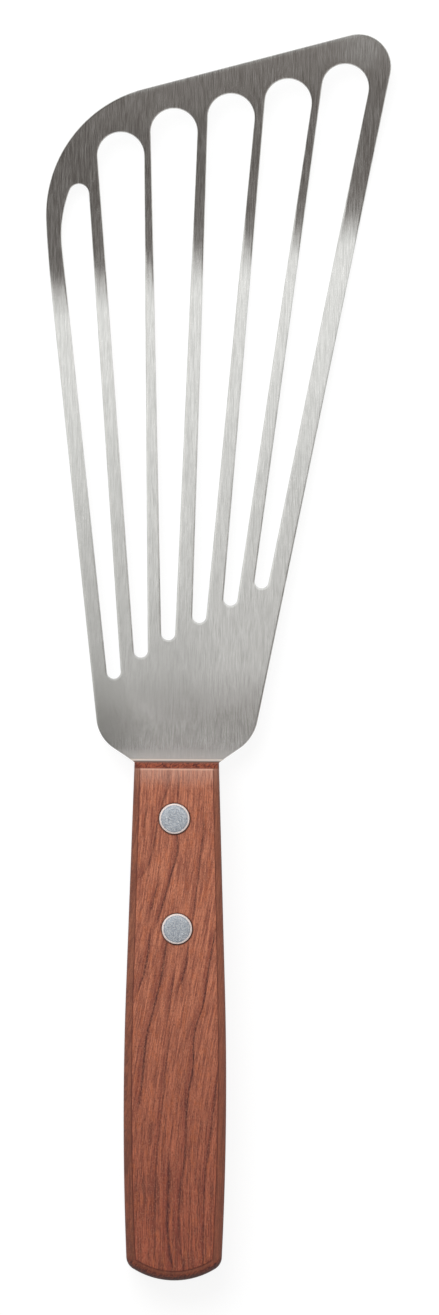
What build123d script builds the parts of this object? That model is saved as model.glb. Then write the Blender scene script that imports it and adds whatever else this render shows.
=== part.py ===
from build123d import *
from math import asin, atan2, cos, degrees, hypot, radians, sin, tan
import os

# Slotted fish spatula: a fan of slots in one spring steel sheet, whose tang is
# riveted into a saw kerf in a one-piece wooden handle.
# Lengths are in millimetres and angles in degrees. While it is drawn, the front
# end of the handle is Y = 0, the underside of the handle is Z = 0, +Y runs towards
# the front edge of the blade and +Z is up. The last step centres the part.

# Sheet
sheet_thickness = 1.2
blade_reach = 151.2          # handle front to front edge, on the middle line
front_slant_angle = 14.9     # the front edge rises to the right
left_slant_angle = 6.34
right_slant_angle = 11.28
shoulder_left = 17.4
shoulder_right = 17.1
shoulder_rise = 5.4
shoulder_left_radius = 8.6
shoulder_right_radius = 9.8
tip_radius = 7.2             # front corner on the right
brow_radius = 28.7           # large front corner on the left
cheek_slant_angle = 3.0      # the left side stands more upright below the brow
cheek_radius = 260.0
cheek_flat = 0.3             # straight stretch between the cheek and the brow

# Side profile of the sheet
drop_angle = 3.48            # the blade slopes down from the handle
neck_straight = 3.0
neck_radius = 300.0
curl_depth = 45.6            # start of the upturned front, behind the front edge
curl_angle = 12.0
curl_radius = 67.0
lip_radius = 200.0           # gentler curve from the curl to the front edge
grind_width = 3.5            # ground bevel under the front edge
grind_edge = 0.5             # sheet thickness left at the front edge

# Slots, counted from the right
slot_count = 5
slot_inset = 10.87           # their front centres lie this far inside the front edge
slot_first_offset = 15.57    # first slot from the right front corner, along the front
slot_last_angle = 28.0       # the last one sits this far round the brow
slot_bar = 2.76              # steel left between their front ends
slot_heel_radius = 1.53
slot_lean_angle = 9.31       # lean of the first slot
slot_fan_angle = 2.985       # each next slot leans that much less
slot_heel_reach = 40.2
slot_heel_step = 3.87

# Narrow slot beside the left edge
side_bar = 3.4               # steel left between that slot and the left edge
side_heel_reach = 20.0
side_top_bar = 4.65          # steel left between its top and the brow
side_top_angle = 12.0        # its top lies this far above the brow's middle
side_top_radius = 2.19
side_bulge_radius = 27.5

# Handle
handle_length = 114.5
handle_thickness = 14.0
handle_front_width = 18.7
taper_length = 50.0          # the sides widen straight this far, then swell to the butt
taper_width = 21.9
butt_width = 21.0
butt_dome = 3.6              # the butt bulges this far past its corners
butt_corner_radius = 3.2
handle_chamfer = 1.5

# Tang in its kerf
tang_length = 50.0
tang_corner_radius = 3.0
kerf_gap = 0.05              # on each face of the tang
kerf_end_gap = 0.5

# Compression rivets, a post pressed into a sleeve
rivet_head_diameter = 6.75
rivet_head_thickness = 1.2
rivet_head_edge = 0.25
rivet_proud = 0.25           # upper heads stand above the wood
rivet_sunk = 0.1             # lower heads lie below the wood
sleeve_diameter = 4.4
sleeve_bore = 3.0
post_gap = 0.02
hole_gap = 0.1
counterbore_gap = 0.12
post_end_gap = 0.6
front_rivet_back = 12.4      # behind the front end of the handle
front_rivet_side = -0.44     # drilled a little to the left
rivet_spacing = 24.35
rear_rivet_side = 0.24

overrun = 20.0               # how far a cutting shape runs past what it cuts


def heading(angle):
    """Unit vector in plan that leans from +Y towards +X by the angle."""
    return Vector(sin(radians(angle)), cos(radians(angle)))


def crossing(point, direction, other_point, other_direction):
    """Point where two plan lines cross."""
    apart = other_point - point
    across = direction.X * other_direction.Y - direction.Y * other_direction.X
    along = (apart.X * other_direction.Y - apart.Y * other_direction.X) / across
    return point + direction * along


def polar(centre, radius, angle):
    """Point on a circle, at an angle counted from +X."""
    return centre + Vector(cos(radians(angle)), sin(radians(angle))) * radius


# Outline of the blade in plan, from its straight edges
front_along = heading(90 - front_slant_angle)
front_inward = heading(180 - front_slant_angle)
front_point = Vector(0, blade_reach)
left_point = Vector(-shoulder_left, shoulder_rise)
right_point = Vector(shoulder_right, shoulder_rise)
left_along = heading(-left_slant_angle)
right_along = heading(right_slant_angle)
tip_point = crossing(right_point, right_along, front_point, front_along)
half_front = handle_front_width / 2

# The brow and the cheek are rounded corners that all but meet.
brow_turn = radians(90 - front_slant_angle + cheek_slant_angle)
brow_reach = brow_radius * tan(brow_turn / 2)
cheek_turn = radians(left_slant_angle - cheek_slant_angle)
cheek_run = brow_reach + cheek_flat + cheek_radius * tan(cheek_turn / 2)
cheek_along = heading(-cheek_slant_angle)
cheek_point = crossing(left_point, left_along, front_point - cheek_along * cheek_run, front_along)
brow_point = cheek_point + cheek_along * cheek_run
brow_start = brow_point + front_along * brow_reach
brow_centre = brow_start + front_inward * brow_radius


def handle_outline():
    """Plan of the handle: straight tapers that run on into a slow swell, and a domed butt."""
    corner_reach = handle_length - butt_dome
    sides = []
    for hand in (-1, 1):
        start = Vector(hand * half_front, 0)
        swell_start = Vector(hand * taper_width / 2, -taper_length)
        butt_corner = Vector(hand * butt_width / 2, -corner_reach)
        sides.append(Line(start, swell_start))
        sides.append(TangentArc(swell_start, butt_corner, tangent=swell_start - start))
    butt = ThreePointArc(sides[1] @ 1, (0, -handle_length), sides[3] @ 1)
    front = Line(sides[0] @ 0, sides[2] @ 0)
    plan = make_face([edge.edge() for edge in sides + [butt, front]])
    return fillet(plan.vertices().group_by(Axis.Y)[0], butt_corner_radius)


def blade_outline():
    """Plan of the whole sheet: the head, and a tang that is as wide as the handle."""
    corners = [
        (Vector(-half_front, 0), 0),
        (left_point, shoulder_left_radius),
        (cheek_point, cheek_radius),
        (brow_point, brow_radius),
        (tip_point, tip_radius),
        (right_point, shoulder_right_radius),
        (Vector(half_front, 0), 0),
    ]
    points = [corner for corner, radius in corners]
    radii = [radius for corner, radius in corners]
    head = make_face(FilletPolyline(*points, radius=radii, close=True))
    front_part = Location((0, -tang_length / 2)) * Rectangle(handle_length, tang_length)
    tang = handle_outline() & front_part
    tang = fillet(tang.vertices().group_by(Axis.Y)[0], tang_corner_radius)
    return head + tang


# The front ends are evenly spaced along a path inside the front edge and round the brow.
slot_path_radius = brow_radius - slot_inset
slot_path_straight = (tip_point - brow_start).length
slot_path_end = slot_path_straight + slot_path_radius * radians(slot_last_angle)
slot_pitch = (slot_path_end - slot_first_offset) / (slot_count - 1)
slot_front_radius = (slot_pitch - slot_bar) / 2


def slot_front_centre(index):
    """Front centre of a slot, counted from the right."""
    run = slot_first_offset + slot_pitch * index
    if run <= slot_path_straight:
        return tip_point + front_inward * slot_inset - front_along * run
    turn = degrees((run - slot_path_straight) / slot_path_radius)
    return polar(brow_centre, slot_path_radius, 90 + front_slant_angle + turn)


def fan_slot(index):
    """Tapered slot with round ends."""
    front = slot_front_centre(index)
    axis = heading(slot_lean_angle - slot_fan_angle * index)
    heel_reach = slot_heel_reach - slot_heel_step * index
    heel = crossing(front, axis, Vector(0, heel_reach), heading(90))
    front_end = Location(front) * Circle(slot_front_radius)
    heel_end = Location(heel) * Circle(slot_heel_radius)
    return make_hull(front_end.edges() + heel_end.edges())


def side_slot():
    """Narrow slot that keeps to the left edge and closes in under the brow."""
    outward = heading(-90 - left_slant_angle)
    inner_point = left_point - outward * side_bar
    heel_line = inner_point - outward * slot_heel_radius
    heel = crossing(heel_line, left_along, Vector(0, side_heel_reach), heading(90))
    top = polar(brow_centre, brow_radius - side_top_bar - side_top_radius, 180 - side_top_angle)

    # The bulge touches the left wall and rolls into the top circle from outside.
    bulge_line = inner_point - outward * side_bulge_radius
    reach = side_bulge_radius - side_top_radius
    foot = bulge_line + left_along * (top - bulge_line).dot(left_along)
    aside = (top - foot).length
    bulge = foot - left_along * (reach ** 2 - aside ** 2) ** 0.5
    bulge_start = bulge + outward * side_bulge_radius
    bulge_end_angle = degrees(atan2(top.Y - bulge.Y, top.X - bulge.X))
    bulge_start_angle = 180 + left_slant_angle
    bulge_end = polar(bulge, side_bulge_radius, bulge_end_angle)

    # The right wall touches both end circles.
    span = top - heel
    wall_lean = degrees(asin((side_top_radius - slot_heel_radius) / span.length))
    wall_angle = degrees(atan2(span.Y, span.X)) - 90 - wall_lean
    heel_end = heel + outward * slot_heel_radius
    sides = [
        Line(heel_end, bulge_start),
        ThreePointArc(
            bulge_start,
            polar(bulge, side_bulge_radius, (bulge_start_angle + bulge_end_angle) / 2),
            bulge_end,
        ),
        ThreePointArc(
            bulge_end,
            polar(top, side_top_radius, (bulge_end_angle + wall_angle) / 2),
            polar(top, side_top_radius, wall_angle),
        ),
        Line(polar(top, side_top_radius, wall_angle), polar(heel, slot_heel_radius, wall_angle)),
        ThreePointArc(
            polar(heel, slot_heel_radius, wall_angle),
            polar(heel, slot_heel_radius, (wall_angle + 180 + left_slant_angle) / 2 + 180),
            heel_end,
        ),
    ]
    return make_face(sides)


# Side profile: the tang lies at half height, the neck turns the sheet down, and the
# belly runs on straight under the slots.
mid_height = handle_thickness / 2
tang_start = Vector(-tang_length - overrun, mid_height)
neck_start = Vector(neck_straight, mid_height)
neck_end = neck_start + Vector(sin(radians(drop_angle)), cos(radians(drop_angle)) - 1) * neck_radius
belly_slope = tan(radians(drop_angle))

# The front curls up about a line that is parallel to the front edge.
curl_plan = front_point + front_inward * curl_depth
curl_height = neck_end.Y - (curl_plan.Y - neck_end.X) * belly_slope
curl_origin = Vector(curl_plan.X, curl_plan.Y, curl_height)
belly_normal = Vector(0, sin(radians(drop_angle)), cos(radians(drop_angle)))
curl_axis = Vector(front_along.X, front_along.Y, -front_along.Y * belly_slope).normalized()
curl_forward = belly_normal.cross(curl_axis)
curl_plane = Plane(origin=curl_origin, x_dir=curl_forward, z_dir=curl_axis)
blade_span = blade_reach + shoulder_left + shoulder_right

# In the curl plane X runs forward along the sheet and Y stands off it.
curl_end = Vector(sin(radians(curl_angle)), 1 - cos(radians(curl_angle))) * curl_radius
lip_centre = curl_end + Vector(-sin(radians(curl_angle)), cos(radians(curl_angle))) * lip_radius
outward_plan = Vector(-front_inward.X, -front_inward.Y, 0)
forward_share = curl_forward.dot(outward_plan)
normal_share = belly_normal.dot(outward_plan)


def lip_angle(radius):
    """Slope at which a circle round the lip's centre reaches the front edge's plane."""
    missing = curl_depth - lip_centre.X * forward_share - lip_centre.Y * normal_share
    lead = degrees(atan2(normal_share, forward_share))
    return degrees(asin(missing / (radius * hypot(forward_share, normal_share)))) + lead


def lip_point(radius, angle):
    """Point on a circle round the lip's centre, where the sheet slopes by the angle."""
    return lip_centre + Vector(sin(radians(angle)), -cos(radians(angle))) * radius


def sheet_skin(start, bends, offset):
    """One face of a bent strip in section, as lines and arcs at an offset from its middle."""
    point = start + Vector(0, offset)
    along = Vector(1, 0)
    edges = []
    for radius, turn in bends:
        if turn:
            side = 1 if turn > 0 else -1
            edge = JernArc(point, along, radius - offset * side, turn)
        else:
            edge = Line(point, point + along * radius)
        edges.append(edge)
        point = edge @ 1
        along = edge % 1
    return edges


def strip(plane, start, bends):
    """Strip of sheet along a bent path, wide enough for the whole blade.

    Each bend is a radius and a turn, or a length with no turn.
    """
    upper = sheet_skin(start, bends, sheet_thickness / 2)
    lower = sheet_skin(start, bends, -sheet_thickness / 2)
    ends = [Line(upper[0] @ 0, lower[0] @ 0), Line(upper[-1] @ 1, lower[-1] @ 1)]
    section = make_face([edge.edge() for edge in upper + lower + ends])
    return extrude(plane * section, amount=blade_span, both=True)


def sheet_back():
    """Tang, neck and belly, bent across the handle and cut off at the curl line."""
    bends = [
        (neck_start.X - tang_start.X, 0),
        (neck_radius, -drop_angle),
        (blade_reach + overrun, 0),
    ]
    sheet = strip(Plane.YZ, tang_start, bends)
    ahead = Plane(origin=curl_origin, x_dir=curl_axis, z_dir=curl_forward)
    return split(sheet, bisect_by=ahead, keep=Keep.BOTTOM)


def sheet_front():
    """Curl and lip, bent about the slanted line."""
    lip_turn = lip_angle(lip_radius) - curl_angle + degrees(overrun / lip_radius)
    return strip(curl_plane, Vector(0, 0), [(curl_radius, curl_angle), (lip_radius, lip_turn)])


def front_grind():
    """Wedge that grinds the underside of the front edge thin."""
    top_radius = lip_radius - sheet_thickness / 2
    under_radius = lip_radius + sheet_thickness / 2
    edge_radius = top_radius + grind_edge
    edge = lip_point(edge_radius, lip_angle(edge_radius))
    foot = lip_point(under_radius, lip_angle(under_radius) - degrees(grind_width / under_radius))
    run = (edge - foot).normalized()
    below = Vector(run.Y, -run.X)
    section = Polyline(
        foot - run * sheet_thickness,
        edge + run * overrun,
        edge + run * overrun + below * overrun,
        foot - run * sheet_thickness + below * overrun,
        close=True,
    )
    return extrude(make_face(curl_plane * section), amount=blade_span, both=True)


def upright(face):
    """Prism through the whole height of the part."""
    return Location((0, 0, -overrun)) * extrude(face, amount=handle_thickness + overrun * 2)


# Rivet axes, and the seats of their heads in the wood
rivet_places = {
    "front": (front_rivet_side, -front_rivet_back),
    "rear": (rear_rivet_side, -front_rivet_back - rivet_spacing),
}
upper_seat = handle_thickness + rivet_proud - rivet_head_thickness
lower_seat = rivet_sunk + rivet_head_thickness


def rivet_axis(name):
    """Vertical axis of a rivet, at the underside of the handle."""
    return Location(rivet_places[name])


def rivet_holes():
    """Clearance holes for the sleeves, on both rivet axes."""
    radius = sleeve_diameter / 2 + hole_gap
    return [upright(rivet_axis(name) * Circle(radius)) for name in rivet_places]


def make_blade():
    """Slotted sheet with its tang and its two rivet holes."""
    blade = (sheet_back() + sheet_front()) & upright(blade_outline())
    for index in range(slot_count):
        blade -= upright(fan_slot(index))
    blade -= upright(side_slot())
    blade -= front_grind()
    for hole in rivet_holes():
        blade -= hole
    return blade


def make_handle():
    """Wooden block with chamfered rims, the kerf and the counterbored rivet holes."""
    block = extrude(handle_outline(), amount=handle_thickness)
    rims = block.faces().sort_by(Axis.Z)
    block = chamfer(rims[0].edges() + rims[-1].edges(), handle_chamfer)
    kerf_height = sheet_thickness + kerf_gap * 2
    kerf_depth = tang_length + kerf_end_gap
    kerf = Box(taper_width + overrun, kerf_depth + overrun, kerf_height)
    block -= Location((0, (overrun - kerf_depth) / 2, mid_height)) * kerf
    for hole in rivet_holes():
        block -= hole
    counterbore = extrude(Circle(rivet_head_diameter / 2 + counterbore_gap), amount=overrun)
    for name in rivet_places:
        block -= rivet_axis(name) * Location((0, 0, upper_seat)) * counterbore
        block -= rivet_axis(name) * Location((0, 0, lower_seat - overrun)) * counterbore
    return block


def rivet_head():
    """Flat round head with a broken outer edge, its face up and its seat at Z = 0."""
    head = extrude(Circle(rivet_head_diameter / 2), amount=rivet_head_thickness)
    return fillet(head.edges().sort_by(Axis.Z)[-1], rivet_head_edge)


def make_sleeve(name):
    """Lower half of a rivet: a head with a tube that reaches the upper head."""
    tube = extrude(Circle(sleeve_diameter / 2), amount=upper_seat - lower_seat)
    bore = extrude(Circle(sleeve_bore / 2), amount=upper_seat - lower_seat)
    head = Location((0, 0, 0), (180, 0, 0)) * rivet_head()
    return rivet_axis(name) * Location((0, 0, lower_seat)) * (head + tube - bore)


def make_post(name):
    """Upper half of a rivet: a head with a solid pin in the sleeve's bore."""
    length = upper_seat - lower_seat - post_end_gap
    pin = extrude(Circle(sleeve_bore / 2 - post_gap), amount=-length)
    return rivet_axis(name) * Location((0, 0, upper_seat)) * (rivet_head() + pin)


parts = {"blade": make_blade(), "handle": make_handle()}
for name in rivet_places:
    parts[f"{name}_rivet_sleeve"] = make_sleeve(name)
    parts[f"{name}_rivet_post"] = make_post(name)

# Centre the part over the middle of its box, with its lowest point at Z = 0.
solids = [solid for part in parts.values() for solid in part.solids()]
box = Compound(children=solids).bounding_box()
centre = box.center()
home = Location((-centre.X, -centre.Y, -box.min.Z))

os.makedirs("parts", exist_ok=True)
for name, part in parts.items():
    export_step(home * part, f"parts/{name}.step")
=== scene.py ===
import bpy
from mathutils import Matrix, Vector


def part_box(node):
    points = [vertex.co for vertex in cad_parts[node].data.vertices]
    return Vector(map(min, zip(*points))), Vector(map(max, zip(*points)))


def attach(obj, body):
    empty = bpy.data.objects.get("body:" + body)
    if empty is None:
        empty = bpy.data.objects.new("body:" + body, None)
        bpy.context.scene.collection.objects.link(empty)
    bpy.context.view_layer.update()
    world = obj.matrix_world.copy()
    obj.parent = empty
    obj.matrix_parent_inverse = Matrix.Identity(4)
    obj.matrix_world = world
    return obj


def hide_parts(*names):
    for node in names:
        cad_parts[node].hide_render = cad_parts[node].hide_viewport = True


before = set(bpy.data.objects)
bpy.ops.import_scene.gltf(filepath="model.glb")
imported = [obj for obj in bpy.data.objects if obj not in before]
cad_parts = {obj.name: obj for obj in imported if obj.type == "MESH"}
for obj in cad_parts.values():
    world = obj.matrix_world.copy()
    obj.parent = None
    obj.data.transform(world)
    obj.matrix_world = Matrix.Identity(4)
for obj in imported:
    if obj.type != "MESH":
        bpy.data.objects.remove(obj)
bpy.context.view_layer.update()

import math

import bmesh
import bpy
from mathutils import Matrix, Vector


# Blade: one sheet of stainless spring steel, 1.2 mm thick, cut with its tang and its
# six slots, then bent across the neck and curled up along a line behind the front edge.
# The edges are tumbled round, the faces are brushed along the blade, and the front is ground below.
mm = 0.001
handle_low, handle_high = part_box("handle")

# Plans are drawn from home, the middle of the handle's front end, with +Y towards the blade's front.
# The handle and the tang in it have one width: half_front at the front end, half_taper further back.
home = Vector(((handle_low.x + handle_high.x) / 2, handle_high.y, handle_low.z))
handle_thickness = handle_high.z - handle_low.z
handle_length = handle_high.y - handle_low.y
half_front = 9.35 * mm
half_taper = 10.95 * mm
taper_length = 50 * mm

# Slants are in degrees. The brow is the large round corner on the left of the front edge, the cheek
# is the faint bend below it, and the shoulders are the corners beside the handle.
sheet_thickness = 1.2 * mm
sheet_edge_round = 0.18 * mm
sheet_rim = 0.5 * mm
blade_reach = 151.2 * mm
front_slant = 14.9
left_slant = 6.34
right_slant = 11.28
cheek_slant = 3.0
shoulder_left = Vector((-17.4, 5.4)) * mm
shoulder_right = Vector((17.1, 5.4)) * mm
shoulder_left_radius = 8.6 * mm
shoulder_right_radius = 9.8 * mm
tip_radius = 7.2 * mm
brow_radius = 28.7 * mm
cheek_radius = 260 * mm
cheek_flat = 0.3 * mm
tang_corner_radius = 3 * mm


def heading(angle):
    """Unit vector in plan that leans from +Y towards +X by an angle in degrees."""
    return Vector((math.sin(math.radians(angle)), math.cos(math.radians(angle))))


def crossing(point, direction, other_point, other_direction):
    """Point where two plan lines cross."""
    apart = other_point - point
    along = apart.cross(other_direction) / direction.cross(other_direction)
    return point + direction * along


def polar(centre, radius, angle):
    """Point on a circle, at an angle in degrees counted from +X."""
    return centre + Vector((math.cos(math.radians(angle)), math.sin(math.radians(angle)))) * radius


front_along = heading(90 - front_slant)
front_inward = heading(180 - front_slant)
front_point = Vector((0, blade_reach))
left_along = heading(-left_slant)
tip_point = crossing(shoulder_right, heading(right_slant), front_point, front_along)
cheek_along = heading(-cheek_slant)
brow_reach = brow_radius * math.tan(math.radians(90 - front_slant + cheek_slant) / 2)
cheek_run = brow_reach + cheek_flat + cheek_radius * math.tan(math.radians(left_slant - cheek_slant) / 2)
cheek_point = crossing(shoulder_left, left_along, front_point - cheek_along * cheek_run, front_along)
brow_point = cheek_point + cheek_along * cheek_run
brow_start = brow_point + front_along * brow_reach
brow_centre = brow_start + front_inward * brow_radius

# Each corner of an outline has its place and the radius that it is rounded to.
blade_corners = [
    (Vector((-half_front, 0)), 0),
    (Vector((-half_taper, -taper_length)), tang_corner_radius),
    (Vector((half_taper, -taper_length)), tang_corner_radius),
    (Vector((half_front, 0)), 0),
    (shoulder_right, shoulder_right_radius),
    (tip_point, tip_radius),
    (brow_point, brow_radius),
    (cheek_point, cheek_radius),
    (shoulder_left, shoulder_left_radius),
]

# The narrow slot beside the left edge: a bulged outer wall that rolls into a small round top.
side_bar = 3.4 * mm
side_heel_reach = 20 * mm
side_top_bar = 4.65 * mm
side_top_angle = 12.0
side_top_radius = 2.19 * mm
side_bulge_radius = 27.5 * mm
slot_heel_radius = 1.53 * mm

outward = heading(-90 - left_slant)
inner_wall = shoulder_left - outward * side_bar
heel_line = inner_wall - outward * slot_heel_radius
side_heel = crossing(heel_line, left_along, Vector((0, side_heel_reach)), heading(90))
side_top = polar(brow_centre, brow_radius - side_top_bar - side_top_radius, 180 - side_top_angle)
bulge_line = inner_wall - outward * side_bulge_radius
foot = bulge_line + left_along * (side_top - bulge_line).dot(left_along)
roll_reach = side_bulge_radius - side_top_radius
bulge = foot - left_along * (roll_reach ** 2 - (side_top - foot).length_squared) ** 0.5
roll_angle = math.degrees(math.atan2(side_top.y - bulge.y, side_top.x - bulge.x))
roll_point = polar(bulge, side_bulge_radius, roll_angle)
roll_along = heading(-roll_angle)
span = side_top - side_heel
wall_lean = math.asin((side_top_radius - slot_heel_radius) / span.length)
wall_angle = math.degrees(math.atan2(span.y, span.x) - wall_lean) - 90
wall_point = polar(side_top, side_top_radius, wall_angle)
wall_along = heading(-wall_angle)
heel_floor = side_heel - left_along * slot_heel_radius
side_corners = [
    (crossing(heel_floor, outward, inner_wall, left_along), slot_heel_radius),
    (crossing(inner_wall, left_along, roll_point, roll_along), side_bulge_radius),
    (crossing(roll_point, roll_along, wall_point, wall_along), side_top_radius),
    (crossing(wall_point, wall_along, heel_floor, outward), slot_heel_radius),
]


class Wire:
    """One output socket. A sum with it adds a Math node, or a Vector Math node for a vector."""

    def __init__(self, graph, socket):
        self.graph = graph
        self.socket = socket

    def out(self, name):
        """Another output of the same node."""
        return Wire(self.graph, self.graph.pick(self.socket.node.outputs, name))

    def __add__(self, other):
        return self.graph.sum("ADD", self, other)

    def __radd__(self, other):
        return self.graph.sum("ADD", other, self)

    def __sub__(self, other):
        return self.graph.sum("SUBTRACT", self, other)

    def __rsub__(self, other):
        return self.graph.sum("SUBTRACT", other, self)

    def __mul__(self, other):
        return self.graph.sum("MULTIPLY", self, other)

    def __rmul__(self, other):
        return self.graph.sum("MULTIPLY", other, self)

    def __truediv__(self, other):
        return self.graph.sum("DIVIDE", self, other)

    def __rtruediv__(self, other):
        return self.graph.sum("DIVIDE", other, self)

    def __pow__(self, other):
        return self.graph.sum("POWER", self, other)


class Graph:
    """A node tree that is written as Python sums."""

    def __init__(self, tree):
        self.tree = tree

    def pick(self, sockets, name):
        """Socket by its place, or the first one in use with that name."""
        if isinstance(name, int):
            return sockets[name]
        return next(socket for socket in sockets if socket.name == name and socket.enabled)

    def node(self, kind, settings=None, sockets=None):
        """New node: its settings first, then the values or links of its sockets."""
        made = self.tree.nodes.new(kind)
        for name, value in (settings or {}).items():
            if name == "stops":
                stops = made.color_ramp.elements
                while len(stops) < len(value):
                    stops.new(1.0)
                for stop, (place, shade) in zip(stops, value):
                    stop.position = place
                    stop.color = shade
            elif name == "stations":
                stations = made.mapping.curves[0].points
                while len(stations) < len(value):
                    stations.new(1.0, 1.0)
                for station, place in zip(stations, value):
                    station.location = place
                made.mapping.update()
            else:
                setattr(made, name, value)
        for name, value in (sockets or {}).items():
            socket = self.pick(made.inputs, name)
            for item in value if isinstance(value, list) else [value]:
                if isinstance(item, Wire):
                    self.tree.links.new(item.socket, socket)
                else:
                    socket.default_value = item
        enabled = [socket for socket in made.outputs if socket.enabled]
        return Wire(self, enabled[0]) if enabled else made

    def is_vector(self, value):
        """Whether a value or a wire is a vector or a colour."""
        if isinstance(value, Wire):
            return value.socket.type in ("VECTOR", "RGBA")
        return isinstance(value, (tuple, Vector))

    def sum(self, operation, first, second=0.0):
        """Math node, or Vector Math where a vector or a colour takes part."""
        values = {0: first, 1: second}
        if not any(self.is_vector(value) for value in values.values()):
            return self.node("ShaderNodeMath", {"operation": operation}, values)
        for index, value in values.items():
            if isinstance(value, (int, float)):
                values[index] = (value,) * 3
        return self.node("ShaderNodeVectorMath", {"operation": operation}, values)

    def at_most(self, value, *limits):
        """The smallest of the values."""
        for limit in limits:
            value = self.sum("MINIMUM", value, limit)
        return value

    def at_least(self, value, *limits):
        """The largest of the values."""
        for limit in limits:
            value = self.sum("MAXIMUM", value, limit)
        return value

    def soft_step(self, value, low, high):
        """0 below low, 1 above high and smooth between them."""
        return self.node(
            "ShaderNodeMapRange",
            {"interpolation_type": "SMOOTHSTEP"},
            {"Value": value, "From Min": low, "From Max": high},
        )

    def fade(self, value, low, high):
        """1 below low, 0 above high and smooth between them."""
        return 1 - self.soft_step(value, low, high)

    def store(self, geometry, name, value, kind="FLOAT"):
        """Keeps a value as a named attribute of the points."""
        return self.node(
            "GeometryNodeStoreNamedAttribute",
            {"data_type": kind, "domain": "POINT"},
            {"Geometry": geometry, "Name": name, "Value": value},
        )

    def vector(self, x=0.0, y=0.0, z=0.0):
        """Vector of three values."""
        return self.node("ShaderNodeCombineXYZ", {}, {"X": x, "Y": y, "Z": z})

    def split(self, vector):
        """X, Y and Z of a vector."""
        parts = self.node("ShaderNodeSeparateXYZ", {}, {0: vector})
        return parts.out("X"), parts.out("Y"), parts.out("Z")


class Shape(Graph):
    """Geometry Nodes tree with named inputs, one geometry in and one out."""

    def __init__(self, name, inputs):
        super().__init__(bpy.data.node_groups.new(name, "GeometryNodeTree"))
        face = self.tree.interface
        face.new_socket("Geometry", in_out="INPUT", socket_type="NodeSocketGeometry")
        face.new_socket("Geometry", in_out="OUTPUT", socket_type="NodeSocketGeometry")
        kinds = {float: "Float", int: "Int", bpy.types.Material: "Material"}
        self.identifiers = {}
        self.values = inputs
        for label, value in inputs.items():
            kind = "NodeSocket" + kinds[type(value)]
            socket = face.new_socket(label, in_out="INPUT", socket_type=kind)
            self.identifiers[label] = socket.identifier
        self.inlet = self.node("NodeGroupInput")

    def __getitem__(self, label):
        """Wire of a named input."""
        return self.inlet.out(label)

    def end(self, geometry):
        """Links the result to the group's output."""
        self.node("NodeGroupOutput", {}, {"Geometry": geometry})

    def mesh(self, name, base):
        """Runs the tree on a mesh and returns the plain result as an object."""
        holder = bpy.data.objects.new(name + "_lines", base)
        bpy.context.scene.collection.objects.link(holder)
        modifier = holder.modifiers.new("shape", "NODES")
        modifier.node_group = self.tree
        for label, value in self.values.items():
            modifier[self.identifiers[label]] = value
        evaluated = holder.evaluated_get(bpy.context.evaluated_depsgraph_get())
        result = bpy.data.meshes.new_from_object(evaluated)
        result.name = name
        bpy.data.objects.remove(holder)
        made = bpy.data.objects.new(name, result)
        bpy.context.scene.collection.objects.link(made)
        return made


def lines_mesh(name, lines):
    """Mesh of loose points: each line's corners with its number and the radius of each corner."""
    corners = [(point, radius, number) for number, line in enumerate(lines) for point, radius in line]
    made = bpy.data.meshes.new(name)
    made.from_pydata([tuple(point.to_3d()) for point, radius, number in corners], [], [])
    made.attributes.new("corner_radius", "FLOAT", "POINT").data.foreach_set(
        "value", [radius for point, radius, number in corners]
    )
    made.attributes.new("line", "INT", "POINT").data.foreach_set(
        "value", [number for point, radius, number in corners]
    )
    return made


# A rounded corner has a few points, and more the larger its radius is.
arc_spacing = 1.2 * mm
section_arc_points = 4
outline_arc_points = 10
most_arc_points = 30

# Outline points nearer than the joint gap are doubled, mesh points nearer than the weld gap
# become one, and edges steeper than the sharp angle stay crisp.
joint_gap = 0.01 * mm
weld_gap = 0.001 * mm
sharp_angle = math.radians(32)


def rounded_curves(shape):
    """Section (line 0, open) and loops (the other lines, closed), with their corners rounded."""
    points = shape.node("GeometryNodeMeshToPoints", {}, {"Mesh": shape["Geometry"]})
    line = shape.node("GeometryNodeInputNamedAttribute", {"data_type": "INT"}, {"Name": "line"})
    radius = shape.node("GeometryNodeInputNamedAttribute", {}, {"Name": "corner_radius"})
    curves = shape.node("GeometryNodePointsToCurves", {}, {"Points": points, "Curve Group ID": line})
    is_loop = shape.sum("GREATER_THAN", line, 0.5)
    cyclic = shape.node("GeometryNodeSetSplineCyclic", {}, {"Geometry": curves, "Cyclic": is_loop})
    is_round = shape.sum("GREATER_THAN", radius, 0.0)
    fewest = section_arc_points + (outline_arc_points - section_arc_points) * is_loop
    count = shape.at_most(is_round * (fewest + radius / arc_spacing), most_arc_points)
    rounded = shape.node(
        "GeometryNodeFilletCurve",
        {"mode": "POLY"},
        {"Curve": cyclic, "Count": count, "Radius": radius},
    )
    parted = shape.node(
        "GeometryNodeSeparateGeometry", {"domain": "CURVE"}, {"Geometry": rounded, "Selection": is_loop}
    )
    return parted.out("Inverted"), parted.out("Selection")


def neighbour(shape, offset):
    """Vector from each point of a curve to the one so many places on."""
    index = shape.node("GeometryNodeInputIndex")
    position = shape.node("GeometryNodeInputPosition")
    other = shape.node("GeometryNodeOffsetPointInCurve", {}, {"Point Index": index, "Offset": offset})
    there = shape.node(
        "GeometryNodeFieldAtIndex",
        {"data_type": "FLOAT_VECTOR"},
        {"Value": position, "Index": other.out("Point Index")},
    )
    return there - position


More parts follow.
